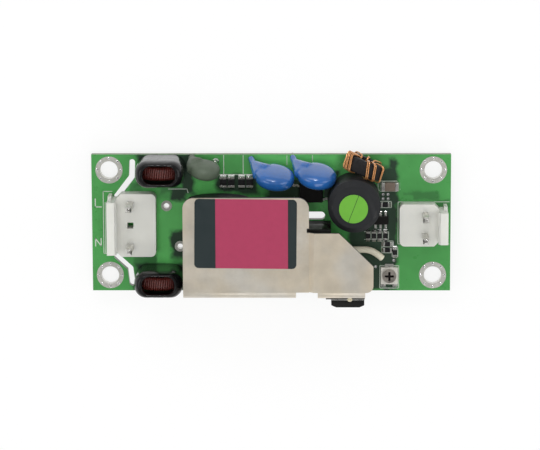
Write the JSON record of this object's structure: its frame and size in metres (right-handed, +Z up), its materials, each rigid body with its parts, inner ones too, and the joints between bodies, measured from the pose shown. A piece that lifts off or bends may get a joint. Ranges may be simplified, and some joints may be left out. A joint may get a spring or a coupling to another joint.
{
  "type": "open frame power supply",
  "caption": "Small open frame mains power supply: parts on a green board under a folded tinned heat spreader, with a white pin header at each end.",
  "frame": {"origin": "centre of the four mounting holes, on the underside of the board", "axes": "+X from the mains header to the output header, +Z up out of the component side"},
  "size_m": [0.0672, 0.0288, 0.0172],
  "materials": {
    "board_green": "green solder mask over glass fibre board",
    "nylon_white": "natural white nylon",
    "tinned_pin": "bright tin plating",
    "black_sleeve": "glossy black shrink sleeve",
    "enamel_wire": "dark red enamelled wire",
    "thermistor_grey": "matt grey green dipped coating",
    "dipped_blue": "glossy blue dipped epoxy",
    "ferrite_dark": "dark fired ferrite",
    "copper_wire": "clear enamelled copper wire",
    "can_black": "matt black moulded can",
    "sticker_green": "green round sticker, bare",
    "tinned_sheet": "warm grey tinned sheet",
    "label_film": "printed film in dark and magenta fields, bare",
    "pad_black": "thin dark insulating pad",
    "package_black": "black moulding compound",
    "bobbin_black": "black moulded bobbin",
    "coil_tape": "dark winding tape",
    "chip_ceramic": "brown grey fired ceramic",
    "chip_dark": "black glazed chip",
    "trimmer_ceramic": "white ceramic",
    "lead_cream": "cream sleeving"
  },
  "bodies": {
    "board": {"circuit_board": "board_green", "mains_header_housing": "nylon_white", "mains_header_pins": "tinned_pin", "output_header_housing": "nylon_white", "output_header_pins": "tinned_pin", "north_choke_sleeve": "black_sleeve", "north_choke_winding": "enamel_wire", "south_choke_sleeve": "black_sleeve", "south_choke_winding": "enamel_wire", "inrush_thermistor": "thermistor_grey", "inrush_thermistor_leads": "tinned_pin", "left_safety_capacitor": "dipped_blue", "left_safety_capacitor_leads": "tinned_pin", "right_safety_capacitor": "dipped_blue", "right_safety_capacitor_leads": "tinned_pin", "ring_choke_core": "ferrite_dark", "ring_choke_winding": "copper_wire", "output_capacitor": "can_black", "output_capacitor_sticker": "sticker_green", "heat_spreader": "tinned_sheet", "spreader_label": "label_film", "rectifier_pad": "pad_black", "rectifier_body": "package_black", "rectifier_leads": "tinned_pin", "transformer_core_lower": "ferrite_dark", "transformer_core_upper": "ferrite_dark", "transformer_bobbin": "bobbin_black", "transformer_coil": "coil_tape", "transformer_pins": "tinned_pin", "bulk_capacitor": "can_black", "bulk_capacitor_leads": "tinned_pin", "optocoupler": "package_black", "optocoupler_leads": "tinned_pin", "primary_chip_bodies": "chip_dark", "primary_chip_caps": "tinned_pin", "secondary_chip_bodies": "chip_dark", "secondary_chip_caps": "tinned_pin", "filter_capacitor_body": "chip_ceramic", "filter_capacitor_caps": "tinned_pin", "regulator_body": "package_black", "regulator_leads": "tinned_pin", "trimmer_base": "trimmer_ceramic", "trimmer_terminals": "tinned_pin", "transformer_lead": "lead_cream", "bridge_body": "package_black", "bridge_leads": "tinned_pin", "controller_body": "package_black", "controller_leads": "tinned_pin", "fuse_body": "chip_ceramic", "fuse_caps": "tinned_pin"},
    "trimmer_rotor": {"trimmer_rotor": "tinned_pin"}
  },
  "joints": [
    {"name": "trimmer_turn", "type": "hinge", "parent": "board", "child": "trimmer_rotor", "pos_m": [0.02215, -0.01, 0.0025], "axis": [0, 0, 1], "range_deg": [-120, 120]}
  ]
}
